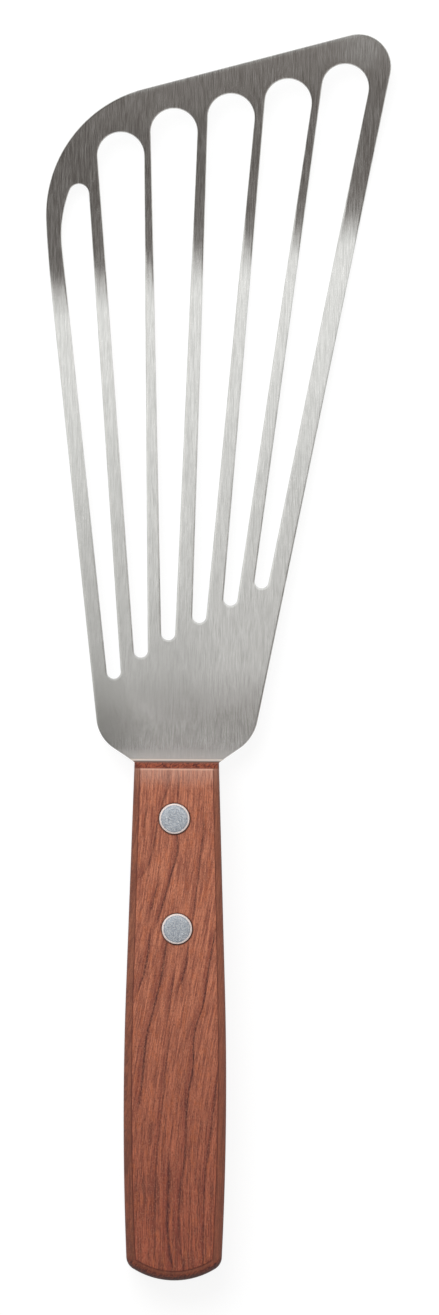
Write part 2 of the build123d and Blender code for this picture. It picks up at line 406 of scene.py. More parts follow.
def rimmed_plate(shape, section, loops, loop_spacing, widening=1.0):
    """Closed plate: the section runs round each loop as its rim, and flat faces fill the rims."""
    step = shape.sum("LENGTH", neighbour(shape, 1))
    doubled = shape.sum("LESS_THAN", step, joint_gap)
    single = shape.node(
        "GeometryNodeDeleteGeometry", {"domain": "POINT"}, {"Geometry": loops, "Selection": doubled}
    )
    dense = shape.node("GeometryNodeSubdivideCurve", {}, {"Curve": single, "Cuts": step / loop_spacing})

    # A rim keeps its width round a sharp corner, where its section is stretched sideways,
    # and the same stretch widens the rim from place to place.
    ahead = shape.sum("NORMALIZE", neighbour(shape, 1))
    behind = shape.sum("NORMALIZE", neighbour(shape, -1))
    cosine = shape.sum("DOT_PRODUCT", ahead, behind)
    mitre = (2 / (1 - cosine)) ** 0.5
    stretched = shape.store(dense, "stretch", mitre * widening)
    stretch = shape.node("GeometryNodeInputNamedAttribute", {}, {"Name": "stretch"})
    level = shape.node("GeometryNodeSetCurveNormal", {"mode": "Z_UP"}, {"Curve": stretched})
    profile = shape.node("GeometryNodeTransform", {}, {"Geometry": section, "Scale": (1, -1, 1)})
    for name, sizes in {"first_rim": (1, 0), "last_rim": (0, 1)}.items():
        tip = shape.node(
            "GeometryNodeCurveEndpointSelection", {}, {"Start Size": sizes[0], "End Size": sizes[1]}
        )
        profile = shape.store(profile, name, tip, "BOOLEAN")
    swept = shape.node(
        "GeometryNodeCurveToMesh", {}, {"Curve": level, "Profile Curve": profile, "Scale": stretch}
    )
    x, y, z = shape.split(shape.node("GeometryNodeInputPosition"))
    rims = shape.node(
        "GeometryNodeSetPosition", {}, {"Geometry": swept, "Position": shape.vector(x, y, z / stretch)}
    )
    parts = [rims]
    for name in ("first_rim", "last_rim"):
        chosen = shape.node("GeometryNodeInputNamedAttribute", {"data_type": "BOOLEAN"}, {"Name": name})
        ring = shape.node("GeometryNodeMeshToCurve", {}, {"Mesh": rims, "Selection": chosen})
        flat = shape.node("GeometryNodeFillCurve", {"mode": "TRIANGLES"}, {"Curve": ring})
        box = shape.node("GeometryNodeBoundBox", {}, {"Geometry": ring, "Use Radius": False})
        height = shape.split(box.out("Max"))[2]
        lift = shape.vector(z=height)
        face = shape.node("GeometryNodeSetPosition", {}, {"Geometry": flat, "Offset": lift})
        if name == "last_rim":
            face = shape.node("GeometryNodeFlipFaces", {}, {"Mesh": face})
        parts.append(face)
    whole = shape.node("GeometryNodeJoinGeometry", {}, {"Geometry": parts})
    return shape.node("GeometryNodeMergeByDistance", {}, {"Geometry": whole, "Distance": weld_gap})


# Side profile: the tang lies at half the handle's height, the neck turns the sheet down,
# and the front curls up about a line that is parallel to the front edge.
mid_height = handle_thickness / 2
drop = math.radians(3.48)
neck_straight = 3 * mm
neck_radius = 300 * mm
curl_depth = 45.6 * mm
curl_angle = math.radians(12)
curl_radius = 67 * mm
lip_radius = 200 * mm
grind_width = 3.5 * mm
grind_edge = 0.5 * mm
grind_block_size = Vector((200, 40, 20)) * mm
grind_block_overlap = 1 * mm

neck_bend = Vector((math.sin(drop), math.cos(drop) - 1)) * neck_radius
neck_end = Vector((neck_straight, mid_height)) + neck_bend
curl_plan = front_point + front_inward * curl_depth
curl_origin = curl_plan.to_3d()
curl_origin.z = neck_end.y - (curl_plan.y - neck_end.x) * math.tan(drop)
belly_normal = Vector((0, math.sin(drop), math.cos(drop)))
curl_axis = Vector((front_along.x, front_along.y, -front_along.y * math.tan(drop))).normalized()
curl_forward = belly_normal.cross(curl_axis)
outward_plan = -front_inward.to_3d()
forward_share = curl_forward.dot(outward_plan)
normal_share = belly_normal.dot(outward_plan)
plan_share = math.hypot(forward_share, normal_share)
plan_lead = math.atan2(normal_share, forward_share)
curl_end = Vector((math.sin(curl_angle), 1 - math.cos(curl_angle))) * curl_radius
lip_centre = curl_end + Vector((-math.sin(curl_angle), math.cos(curl_angle))) * lip_radius


def plan_reach(point):
    """How far a point of the curl's section lies in front of the curl line, in plan."""
    return point.x * forward_share + point.y * normal_share


def bend_sheet(shape, geometry):
    """Bends the flat sheet: each point keeps its place in plan and takes its height."""
    x, y, z = shape.split(shape.node("GeometryNodeInputPosition"))
    neck = shape.at_most(shape.at_least(y - neck_straight, 0), neck_end.x - neck_straight)
    neck_drop = shape["Neck Radius"] - (shape["Neck Radius"] ** 2 - neck * neck) ** 0.5
    belly_drop = shape.at_least(y - neck_end.x, 0) * math.tan(drop)
    reach = (x - curl_plan.x) * outward_plan.x + (y - curl_plan.y) * outward_plan.y

    # Slope of the curl and of the lip in front of it, each held where its arc starts and ends.
    slopes = []
    for radius, centre, start, end in (
        (shape["Curl Radius"], Vector((0, curl_radius)), 0, plan_reach(curl_end)),
        (shape["Lip Radius"], lip_centre, plan_reach(curl_end), curl_depth),
    ):
        run = shape.at_most(shape.at_least(reach, start), end)
        slopes.append(plan_lead + shape.sum("ARCSINE", (run - plan_reach(centre)) / (radius * plan_share)))
    curl, lip = slopes
    lift = shape["Curl Radius"] * (1 - shape.sum("COSINE", curl))
    lift = lift + shape["Lip Radius"] * (math.cos(curl_angle) - shape.sum("COSINE", lip))
    slope = curl + lip - curl_angle
    upright = belly_normal.z * shape.sum("COSINE", slope) - curl_forward.z * shape.sum("SINE", slope)
    height = mid_height - neck_drop - belly_drop + lift / belly_normal.z + z / upright
    return shape.node(
        "GeometryNodeSetPosition", {}, {"Geometry": geometry, "Position": shape.vector(x, y, height)}
    )


def lip_angle(radius):
    """Slope at which a circle round the lip's centre reaches the front edge."""
    return plan_lead + math.asin((curl_depth - plan_reach(lip_centre)) / (radius * plan_share))


def lip_point(radius, angle):
    """Point of the curl's section on a circle round the lip's centre."""
    return lip_centre + Vector((math.sin(angle), -math.cos(angle))) * radius


def grinding_block(shape):
    """Block whose upper face grinds the underside of the front edge thin."""
    under_radius = lip_radius + sheet_thickness / 2
    edge_radius = lip_radius - sheet_thickness / 2 + grind_edge
    edge = lip_point(edge_radius, lip_angle(edge_radius))
    foot = lip_point(under_radius, lip_angle(under_radius) - grind_width / under_radius)
    run = (edge - foot).normalized()
    forward = curl_forward * run.x + belly_normal * run.y
    below = curl_axis.cross(forward)
    centre = curl_origin + curl_forward * foot.x + belly_normal * foot.y
    centre += forward * (grind_block_size.y / 2 - grind_block_overlap) - below * (grind_block_size.z / 2)
    turn = Matrix((curl_axis, forward, below)).transposed().to_euler()
    block = shape.node("GeometryNodeMeshCube", {}, {"Size": grind_block_size})
    return shape.node(
        "GeometryNodeTransform", {}, {"Geometry": block, "Translation": centre, "Rotation": turn}
    )


# Five slots fan out. The front circle of the last one lies this many degrees round the brow.
slot_count = 5
slot_points = 48
slot_last_angle = 28.0


def fan_slots(shape):
    """Tapered slots: every one is the hull of a front circle and a smaller heel circle.

    The front circles are evenly spaced on a path inside the front edge and round the brow.
    """
    circle = shape.node("GeometryNodeCurvePrimitiveCircle", {}, {"Resolution": slot_points})
    copies = shape.node(
        "GeometryNodeDuplicateElements",
        {"domain": "SPLINE"},
        {"Geometry": circle, "Amount": shape["Slot Count"]},
    )
    number = copies.out("Duplicate Index")
    kept = shape.store(copies, "slot", number)
    slot = shape.node("GeometryNodeInputNamedAttribute", {}, {"Name": "slot"})
    path_radius = brow_radius - shape["Slot Inset"]
    straight = (tip_point - brow_start).length
    path_end = straight + path_radius * math.radians(slot_last_angle)
    pitch = (path_end - shape["First Offset"]) / (shape["Slot Count"] - 1)
    front_radius = (pitch - shape["Slot Bar"]) / 2
    run = shape["First Offset"] + pitch * slot
    along = shape.at_most(run, straight)
    turn = (run - along) / path_radius
    angle = math.radians(90 + front_slant) + turn
    start_x = tip_point.x - front_along.x * along
    start_y = tip_point.y - front_along.y * along
    front_x = start_x + front_inward.x * brow_radius + shape.sum("COSINE", angle) * path_radius
    front_y = start_y + front_inward.y * brow_radius + shape.sum("SINE", angle) * path_radius

    # The axis leans less from slot to slot, and the heels step back towards the handle.
    lean = shape["First Lean"] - shape["Fan Step"] * slot
    heel_y = shape["First Heel"] - shape["Heel Step"] * slot
    slant = shape.sum("SINE", lean) / shape.sum("COSINE", lean)
    heel_x = front_x - (front_y - heel_y) * slant
    length = (front_y - heel_y) / shape.sum("COSINE", lean)
    flare = shape.sum("ARCSINE", (front_radius - shape["Heel Radius"]) / length)

    # Half of the points round the front, clockwise, and half round the heel.
    place = shape.node("GeometryNodeSplineParameter").out("Index")
    half = slot_points / 2
    is_heel = shape.sum("GREATER_THAN", place, half - 0.5)
    share = (place - is_heel * half) / (half - 1) * 2 - 1
    quarter = math.pi / 2
    round_front = share * (quarter + flare)
    round_heel = math.pi + share * (quarter - flare)
    turned = lean + round_front + is_heel * (round_heel - round_front)
    radius = front_radius + is_heel * (shape["Heel Radius"] - front_radius)
    x = front_x + is_heel * (heel_x - front_x) + radius * shape.sum("SINE", turned)
    y = front_y + is_heel * (heel_y - front_y) + radius * shape.sum("COSINE", turned)
    return shape.node(
        "GeometryNodeSetPosition", {}, {"Geometry": kept, "Position": shape.vector(x, y)}
    )


rivet_names = ("front", "rear")
rivet_boxes = [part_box(name + "_rivet_post") for name in rivet_names]
rivet_places = [(low + high) / 2 - home for low, high in rivet_boxes]
rivet_step = rivet_places[1] - rivet_places[0]
rivet_start = Vector((rivet_places[0].x, rivet_places[0].y, 0))
rivet_hole_radius = 2.3 * mm
rivet_hole_points = 32


def on_rivets(shape, instance):
    """Copies of something on both rivet axes."""
    points = shape.node(
        "GeometryNodeMeshLine",
        {},
        {"Count": len(rivet_names), "Start Location": rivet_start, "Offset": rivet_step.xy.to_3d()},
    )
    return shape.node(
        "GeometryNodeInstanceOnPoints", {}, {"Points": points, "Instance": instance}
    )


def coated(shape, geometry):
    """Ends the tree in real geometry with its material."""
    real = shape.node("GeometryNodeRealizeInstances", {}, {"Geometry": geometry})
    shape.end(shape.node("GeometryNodeSetMaterial", {}, {"Geometry": real, "Material": shape["Finish"]}))


def finished(shape, geometry):
    """Moves the piece to its place on the bench, smooths it and gives it its material."""
    placed = shape.node("GeometryNodeTransform", {}, {"Geometry": geometry, "Translation": home})
    angle = shape.node("GeometryNodeInputMeshEdgeAngle").out("Unsigned Angle")
    is_sharp = shape.sum("GREATER_THAN", angle, sharp_angle)
    smooth = shape.node("GeometryNodeSetShadeSmooth", {"domain": "FACE"}, {"Geometry": placed})
    edged = shape.node(
        "GeometryNodeSetShadeSmooth",
        {"domain": "EDGE"},
        {"Geometry": smooth, "Selection": is_sharp, "Shade Smooth": False},
    )
    coated(shape, edged)


sheet_section = [
    (Vector((-sheet_rim, sheet_thickness / 2)), 0),
    (Vector((0, sheet_thickness / 2)), sheet_edge_round),
    (Vector((0, -sheet_thickness / 2)), sheet_edge_round),
    (Vector((-sheet_rim, -sheet_thickness / 2)), 0),
]


def brightness(value):
    """Scene brightness of a display value given from 0 to 255."""
    share = value / 255
    return share / 12.92 if share < 0.04 else ((share + 0.055) / 1.055) ** 2.4


def colour(red, green, blue):
    """Scene colour of a display colour given from 0 to 255."""
    return brightness(red), brightness(green), brightness(blue), 1.0


class Finish(Graph):
    """Material tree of one finish, in millimetres from the middle of the handle's front end."""

    def __init__(self, name):
        self.material = bpy.data.materials.new(name)
        self.material.use_nodes = True
        self.material.node_tree.nodes.clear()
        super().__init__(self.material.node_tree)
        self.place = (self.node("ShaderNodeTexCoord").out("Object") - home) * (1 / mm)

    def noise(self, sizes, detail, seed, place=None):
        """Soft noise from 0 to 1, whose grains have these sizes in millimetres."""
        stretched = (place or self.place) / Vector(sizes) + Vector((seed, seed * 1.7, seed * 0.6))
        return self.node("ShaderNodeTexNoise", {}, {"Vector": stretched, "Detail": detail})

    def line(self, value, half_width):
        """1 where the value is 0, and 0 from the half width on."""
        return self.fade(self.sum("ABSOLUTE", value), 0.0, half_width)

    def gap(self, point):
        """Distance in plan, in millimetres, from a point given in metres."""
        offset = (self.place - point.xy.to_3d() / mm) * Vector((1, 1, 0))
        return self.sum("LENGTH", offset)

    def blend(self, share, first, second):
        """Mix of two colours."""
        return self.node("ShaderNodeMix", {"data_type": "RGBA"}, {"Factor": share, "A": first, "B": second})

    def painted(self, shade, *layers):
        """The shade with layers over it, each a share and a display colour."""
        for share, paint in layers:
            shade = self.blend(share, shade, colour(*paint))
        return shade

    def relief(self, height, depth):
        """Normal of a surface with this relief, its depth in metres."""
        return self.node("ShaderNodeBump", {}, {"Height": height, "Distance": depth})

    def done(self, sockets):
        """Ends the tree in one Principled BSDF and returns the material."""
        surface = self.node("ShaderNodeBsdfPrincipled", {}, sockets)
        self.node("ShaderNodeOutputMaterial", {}, {"Surface": surface})
        return self.material


# The brushing runs along the blade, some of it at a slight slant, and the scratches lie across it.
brush_slant = 0.07
scratch_slant = 0.15
brush_depth = 0.006 * mm
# Middle of the painted sheen at the blade's tip.
tip_sheen_place = tip_point - front_along * 9.2 * mm + front_inward * 2 * mm


def brushed_steel():
    """Fine brushing along the blade, with painted shade on the left of its heel and a painted highlight
    beside the handle.
    """
    finish = Finish("brushed_steel")
    x, y, z = finish.split(finish.place)
    slanted = finish.vector(x - brush_slant * y, y, z)
    hair = finish.noise((0.24, 13, 60), 3, 3.1)
    stroke = finish.noise((0.55, 28, 60), 2, 8.4)
    slanting = finish.noise((0.32, 15, 60), 2, 5.2, slanted)
    cloud = finish.noise((9, 30, 9), 2, 1.3)
    brushing = hair * 0.4 + stroke * 0.35 + slanting * 0.25
    tone = finish.soft_step(brushing, 0.42, 0.58)
    # Painted shade: the left of the heel and a band across the heel are painted darker, standing in for the
    # darker surroundings that the steel mirrors there.
    left_painted_shade = (finish.fade(y, 6, 30) * 0.35 + finish.fade(y, 20, 90) * 0.65) * finish.fade(x, -18, -3)
    heel_painted_shade = finish.soft_step(y, 8, 16) * finish.fade(y, 20, 45) * finish.fade(x, -2, 13)
    shade = finish.painted(
        finish.blend(tone, colour(194, 194, 191), colour(223, 223, 220)),
        # Painted highlight: the steel is painted pale towards the handle.
        (finish.fade(y, 3, 18) * 0.46, (248, 248, 245)),
        (finish.at_least(left_painted_shade * 0.7, heel_painted_shade * 0.3), (150, 150, 146)),
        # Painted highlight: a brighter strip right beside the handle.
        (finish.fade(y, 0.8, 3.9) * 0.8, (250, 249, 246)),
    )

    # Scratches and the worn front edge scatter some light, which shows where the steel mirrors dark. Beside
    # the handle and at the tip the steel is made partly matt, so that it lights up as a painted sheen.
    front_gap = x * front_inward.x + (y - blade_reach / mm) * front_inward.y
    front_rim = finish.fade(front_gap, 0.1, 1.0)
    level = finish.vector(x + scratch_slant * y, y - scratch_slant * x, z)
    scratch = finish.soft_step(finish.noise((7, 0.2, 7), 1, 17.0, level), 0.7, 0.76)
    handle_sheen = finish.fade(y, 0, 13)
    tip_sheen = finish.fade(finish.gap(tip_sheen_place), 1, 9)
    scattered = 0.14 * tone * tone * (1 - 0.8 * handle_sheen) + 0.15 * scratch + 0.16 * tip_sheen
    scattered = scattered + 0.3 * front_rim + 0.3 * handle_sheen

    # A thin pale line in front of the handle is a painted highlight, and the brown in the corner itself is
    # painted shade.
    highlight_line = finish.line(y - 0.6, 0.4)
    corner = finish.fade(y, 0.15, 0.4)
    return finish.done({
        "Base Color": finish.painted(shade, (highlight_line, (226, 216, 204)), (corner, (112, 78, 64))),
        "Metallic": 1 - finish.at_least(highlight_line, corner, scattered),
        "Roughness": 0.12 + 0.06 * tone + 0.03 * cloud,
        "Anisotropic": 0.85,
        "Normal": finish.relief(brushing * (0.45 + 0.55 * finish.soft_step(y, 12, 45)), brush_depth),
    })


steel = brushed_steel()
cut = Shape("slotted_sheet", {
    "Slot Count": slot_count,
    "Slot Inset": 10.87 * mm,
    "First Offset": 15.57 * mm,
    "Slot Bar": 2.76 * mm,
    "Heel Radius": slot_heel_radius,
    "First Lean": math.radians(9.31),
    "Fan Step": math.radians(2.985),
    "First Heel": 40.2 * mm,
    "Heel Step": 3.87 * mm,
    "Point Spacing": 1.0 * mm,
    "Finish": steel,
})
rim, outline = rounded_curves(cut)
hole = cut.node(
    "GeometryNodeCurvePrimitiveCircle",
    {},
    {"Resolution": rivet_hole_points, "Radius": rivet_hole_radius},
)
holes = cut.node("GeometryNodeRealizeInstances", {}, {"Geometry": on_rivets(cut, hole)})
holes = cut.node("GeometryNodeReverseCurve", {}, {"Curve": holes})
loops = cut.node("GeometryNodeJoinGeometry", {}, {"Geometry": [outline, fan_slots(cut), holes]})
coated(cut, rimmed_plate(cut, rim, loops, cut["Point Spacing"]))
sheet = cut.mesh("flat_sheet", lines_mesh("blade_lines", [sheet_section, blade_corners, side_corners]))

# Lines across the flat sheet, in the neck and in the curl, give it points to bend at.
fold_spacing = 2 * mm


def crease(mesh, start, direction, length):
    """Cuts the faces of a flat mesh along evenly spaced lines that lie square to a direction."""
    faces = bmesh.new()
    faces.from_mesh(mesh)
    for number in range(1 + int(length / fold_spacing)):
        bmesh.ops.bisect_plane(
            faces,
            geom=faces.verts[:] + faces.edges[:] + faces.faces[:],
            dist=joint_gap,
            plane_co=start + direction * fold_spacing * number,
            plane_no=direction,
        )
    faces.to_mesh(mesh)
    faces.free()


crease(sheet.data, Vector((0, neck_straight, 0)), Vector((0, 1, 0)), neck_end.x - neck_straight)
crease(sheet.data, curl_plan.to_3d(), outward_plan, curl_depth)

bent = Shape("bent_sheet", {
    "Neck Radius": neck_radius,
    "Curl Radius": curl_radius,
    "Lip Radius": lip_radius,
    "Finish": steel,
})
ground = bent.node(
    "GeometryNodeMeshBoolean",
    {"operation": "DIFFERENCE", "solver": "EXACT"},
    {"Mesh 1": bend_sheet(bent, bent["Geometry"]), "Mesh 2": grinding_block(bent)},
)
finished(bent, ground)
blade = bent.mesh("slotted_blade", sheet.data)
bpy.data.objects.remove(sheet)

# Brushed steel spreads what it mirrors across its brushing. The shader takes that direction from
# the mesh's texture space, which lies so far behind the blade that it is +X everywhere.
far_behind = 10.0
blade.data.use_auto_texspace = False
blade.data.texspace_location = (0, -far_behind, 0)
blade.data.texspace_size = (1, 1, 1)
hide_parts("blade")
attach(blade, "root")


# Handle: one block of rosewood, planed flat above and below, with its rims rounded over.
# A saw kerf from its front end takes the tang, and two counterbored holes take the rivets.
butt_width = 21 * mm
butt_dome = 3.6 * mm
butt_corner_radius = 3.2 * mm
swell_share = 0.93
band_width = 1.5 * mm
band_front_share = 0.9
band_butt_share = 1.42
band_step = 0.1 * mm
band_round = 1.42 * mm
crest_round = 0.08 * mm
handle_rim = 0.45 * mm
kerf_height = 1.3 * mm
kerf_depth = 50.5 * mm
overrun = 20 * mm
counterbore_radius = 3.495 * mm
bore_points = 64
rivet_head_thickness = 1.2 * mm


def clockwise(direction):
    """Plan direction turned a quarter to the right."""
    return Vector((direction.y, -direction.x))


# The sides taper straight, run on into one long swell, and a small corner leads to the domed butt.
side_start = Vector((half_front, 0))
swell_start = Vector((half_taper, -taper_length))
butt_corner = Vector((butt_width / 2, butt_dome - handle_length))
taper_along = (swell_start - side_start).normalized()
chord = butt_corner - swell_start
swell_half_turn = taper_along.angle(chord)
swell_radius = chord.length / math.sin(swell_half_turn) / 2
swell_centre = swell_start + clockwise(taper_along) * swell_radius
end_along = taper_along.copy()
end_along.rotate(Matrix.Rotation(-2 * swell_half_turn * swell_share, 2))
swell_end = swell_centre - clockwise(end_along) * swell_radius
dome_radius = ((butt_width / 2) ** 2 + butt_dome ** 2) / butt_dome / 2
dome_centre = Vector((0, dome_radius - handle_length))
from_dome = swell_end + clockwise(end_along) * butt_corner_radius - dome_centre
lead = from_dome.dot(end_along)
reach = (lead ** 2 - from_dome.length_squared + (dome_radius - butt_corner_radius) ** 2) ** 0.5 - lead
dome_radial = (from_dome + end_along * reach).normalized()
dome_touch = dome_centre + dome_radial * dome_radius
half_corners = [
    (side_start, 0),
    (crossing(swell_start, taper_along, swell_end, end_along), swell_radius),
    (crossing(swell_end, end_along, dome_touch, clockwise(dome_radial)), butt_corner_radius),
]
apex = crossing(dome_touch, clockwise(dome_radial), Vector((0, 0)), Vector((0, 1)))
mirrored = [(Vector((-point.x, point.y)), radius) for point, radius in half_corners]
handle_corners = mirrored + [(apex, dome_radius)] + half_corners[::-1]

# Flat top, a tiny step down, the rounded band, and the same below.
upper_half = [
    (Vector((-band_width - handle_rim, handle_thickness)), 0),
    (Vector((-band_width, handle_thickness)), crest_round),
    (Vector((-band_width, handle_thickness - band_step)), 0),
    (Vector((0, handle_thickness - band_step)), band_round),
]
lower_half = [(Vector((point.x, handle_thickness - point.y)), radius) for point, radius in upper_half]
handle_section = upper_half + lower_half[::-1]


def band_growth(y):
    """Width of the rounded band at a place along the handle, as a share of its usual width."""
    return band_front_share - (band_butt_share - band_front_share) / handle_length * y


# The dark veins that show on the upper face: darkness as a share, width in millimetres,
# and places along and across the handle in millimetres from the middle of its front end.
vein_places = [
    (0.66, 0.55, [(-1, -2.0), (-4, -1.8), (-9, -3.1), (-16, -4.6), (-21, -5.6), (-26, -8.6)]),
    (0.66, 0.45, [(-1, 0.3), (-4, 0.5), (-8, 0.2)]),
    (0.93, 0.50, [(-15, 0.0), (-19, 0.3), (-24, -0.9), (-30, -2.5), (-35, -4.1)]),
    (0.78, 0.40, [(-11, 6.0), (-15, 6.0), (-21, 5.3), (-27, 4.7), (-35, 3.6)]),
    (0.82, 0.45, [(-26, -3.9), (-29, -4.6), (-34, -5.8)]),
    (0.66, 0.40, [(-9, -6.6), (-16, -7.2)]),
    (0.96, 0.50, [(-38, -5.6), (-45, -6.6), (-51, -8.6)]),
    (0.86, 0.40, [(-40, 2.8), (-45, 2.2), (-50, 0.6)]),
    (0.89, 0.65, [(-39, -1.9), (-48, -3.3), (-55, -4.9), (-61, -6.4), (-70, -7.2), (-76, -7.9)]),
    (0.62, 0.45, [(-46, -0.3), (-50, -0.8), (-58, -2.0)]),
    (0.93, 0.45, [(-36, 9.0), (-45, 7.4), (-53, 6.2), (-61, 4.1), (-67, 4.0), (-73, 3.0), (-80, 2.4)]),
    (0.62, 0.50, [(-58, -1.2), (-65, -1.8), (-78, -3.0), (-91, -4.2), (-104, -4.4)]),
    (0.78, 0.40, [(-69, 9.4), (-81, 8.0), (-90, 6.9), (-99, 6.5), (-112, 6.4)]),
    (0.74, 0.55, [(-74, 2.4), (-86, 2.4), (-94, 1.3), (-102, 1.0), (-113, 2.3)]),
    (0.89, 0.65, [(-88, -1.3), (-96, -1.3), (-104, -1.4), (-113, 0.0)]),
]


# The grain leans sideways over the front of the handle and runs straight towards the butt.
# The rings dip sideways with depth, and the veins lie within the span on both sides of the middle.
lean_width = 11.7
lean_length = 95.0
ring_dip = 0.8
vein_span = 12.0
vein_fade = 3.0
wood_relief = 0.02 * mm


def handle_insets(finish, x, y):
    """How far a place is inside the handle's sides, its butt and its front end, in plan."""
    past_taper = finish.at_most(y, -taper_length / mm) - swell_centre.y / mm
    swell = ((swell_radius / mm) ** 2 - past_taper * past_taper) ** 0.5 + swell_centre.x / mm
    taper = (half_taper - half_front) / taper_length
    side_inset = swell - finish.at_least(y + taper_length / mm, 0.0) * taper - finish.sum("ABSOLUTE", x)
    behind_dome = finish.at_most(y - dome_centre.y / mm, 0.0)
    butt_inset = dome_radius / mm - finish.sum("LENGTH", finish.vector(x, behind_dome))
    return side_inset, butt_inset, 0 - y


def dark_veins(finish, y, along, across):
    """Veins that fade at both ends, and the soft shade on the left of each."""
    length = handle_length / mm
    vein = 0.0
    shadow = 0.0
    for darkness, width, points in vein_places:
        stations = [
            ((place + length) / length, (side + vein_span) / vein_span / 2)
            for place, side in reversed(points)
        ]
        path = finish.node("ShaderNodeFloatCurve", {"stations": stations}, {"Value": along})
        offset = across - (path * 2 - 1) * vein_span
        first, last = points[0][0], points[-1][0]
        strength = finish.soft_step(y, last - vein_fade, last + vein_fade)
        strength = strength * finish.fade(y, first - vein_fade, first + vein_fade) * darkness
        vein = finish.at_least(vein, finish.line(offset, width * 0.85) * strength)
        shadow = finish.at_least(shadow, finish.line(offset + width * 1.1, width * 1.9) * strength)
    return vein, shadow


def end_grain(finish, streak, depth, butt_inset):
    """Dark cut wood of the two ends, with painted shade along the butt's upper and lower edge."""
    x, y, z = finish.split(finish.place)
    diagonal = finish.noise((1.1, 5, 5), 1, 2.0, finish.vector(x - y, y + x, z))
    tone = finish.soft_step(streak * 0.3 + diagonal * 0.7, 0.42, 0.58)
    from_face = finish.at_most(depth, handle_thickness / mm - depth)
    butt_shade = finish.fade(butt_inset, 0.2, 1.7) * finish.fade(from_face, 1.6, 4.0)
    bare = finish.blend(tone, colour(74, 24, 18), colour(158, 82, 56))
    return finish.painted(bare, (butt_shade * 0.75, (76, 58, 56)))


def rosewood():
    """Red-brown heartwood: purple veins along the grain, fine streaks, pores and pale flecks."""
    finish = Finish("rosewood")
    x, y, z = finish.split(finish.place)
    length = handle_length / mm
    depth = handle_thickness / mm - z
    lean = lean_width * finish.soft_step(y, -lean_length, 0.0)
    grain = finish.vector(x + ring_dip * depth - lean, y, depth)
    along = (y + length) / length
    ragged = (finish.noise((0.6, 2.2, 0.6), 2, 2.6) - 0.5) * 0.5
    across = x + ring_dip * depth + ragged
    vein, shadow = dark_veins(finish, y, along, across)
    broken = finish.noise((0.7, 5, 0.7), 3, 7.7)
    vein = vein * finish.soft_step(broken, 0.25, 0.55)

    # Rings beyond the upper face, and finer ones between the veins.
    ring = finish.noise((2.6, 80, 16), 1, 3.3, grain)
    outside = finish.soft_step(finish.sum("ABSOLUTE", across), 9.0, 11.5)
    vein = finish.at_least(vein, finish.line(ring - 0.5, 0.05) * (0.15 + 0.5 * outside))

    broad = finish.noise((2.2, 60, 6), 2, 11.0, grain)
    streak = finish.noise((0.8, 26, 2.2), 3, 4.0, grain)
    fine = finish.noise((0.34, 13, 0.8), 3, 9.0, grain)
    patch = finish.noise((4, 15, 4), 2, 16.0)
    ripple = finish.noise((0.8, 0.5, 0.5), 2, 14.0)
    pores = finish.soft_step(finish.noise((0.36, 3, 0.36), 1, 6.0, grain), 0.6, 0.66)
    blotch = finish.soft_step(finish.noise((1.3, 5, 1.3), 3, 31.0, grain), 0.54, 0.7)
    flecks = finish.soft_step(finish.noise((0.36, 1.1, 0.36), 1, 21.0), 0.63, 0.7)

    # Painted light: the wood is painted paler towards the front end and darker towards the butt, as the
    # lamp falls.
    front_light = finish.soft_step(along, -0.02, 0.74)
    pale = finish.blend(front_light, colour(167, 85, 61), colour(205, 127, 95))
    deep = finish.blend(front_light, colour(94, 43, 34), colour(136, 73, 57))
    tone = broad * 0.32 + streak * 0.36 + fine * 0.32
    face = finish.painted(
        finish.blend(finish.soft_step(tone, 0.43, 0.57), deep, pale),
        (finish.soft_step(patch, 0.5, 0.7) * 0.35, (190, 100, 56)),
        (finish.soft_step(ripple, 0.45, 0.68) * 0.34, (206, 138, 110)),
        (blotch * 0.4, (104, 50, 46)),
        (shadow * 0.5, (112, 47, 42)),
        (vein, (56, 24, 30)),
        (pores * 0.7, (70, 32, 25)),
        (flecks * 0.5, (228, 166, 132)),
    )

    # The top face behind the front end has a painted highlight, brightest in a line along its edge. The
    # rounded band is darker, painted darker still on the left as shade, with a painted dark line along its
    # crest.
    side_inset, butt_inset, front_inset = handle_insets(finish, x, y)
    inset = finish.at_most(side_inset, butt_inset, front_inset)
    band_share = inset / (band_growth(y * mm) * (band_width / mm))
    front_highlight = finish.fade(front_inset, 1.2, 6.5) * (0.25 + 0.5 * finish.soft_step(fine, 0.4, 0.6))
    face = finish.painted(
        face,
        (front_highlight, (216, 168, 148)),
        (finish.line(front_inset - 1.45, 0.35) * 0.5, (236, 190, 168)),
    )
    # Painted shade: the band on the left is painted darker than on the right.
    band_tone_and_shade = finish.blend(finish.fade(x, -6, 6), colour(126, 76, 58), colour(104, 62, 48))
    side = finish.blend(0.6, face, band_tone_and_shade)
    is_end = finish.fade(finish.at_most(butt_inset, front_inset), 1.0, 1.6)
    rim = finish.blend(is_end, side, end_grain(finish, streak, depth, butt_inset))
    shade = finish.blend(finish.fade(band_share, 0.94, 1.02), face, rim)
    # Painted shade: a dark line in the crease along the band's crest.
    crest_shade = finish.line(band_share - 0.95, 0.12) * finish.soft_step(broken, 0.25, 0.45)
    crest_shade = crest_shade * finish.soft_step(front_inset, 1.4, 1.9)
    shade = finish.painted(shade, (crest_shade * 0.7, (84, 38, 32)))

    # A painted shadow lies round the rivet heads, most of it at their lower right.
    for centre in rivet_places:
        rivet_shadow = finish.fade(finish.gap(centre), 3.5, 3.85)
        lower_right = finish.soft_step(x - y - (centre.x - centre.y) / mm, -2.0, 4.0)
        shade = finish.painted(shade, (rivet_shadow * (0.45 + 0.45 * lower_right), (66, 34, 28)))
    return finish.done({
        "Base Color": shade,
        "Roughness": 0.45 + 0.12 * fine + 0.1 * vein,
        "Specular IOR Level": 0.3,
        "Normal": finish.relief(fine * 0.5 - pores * 0.6 - vein * 0.3, wood_relief),
    })


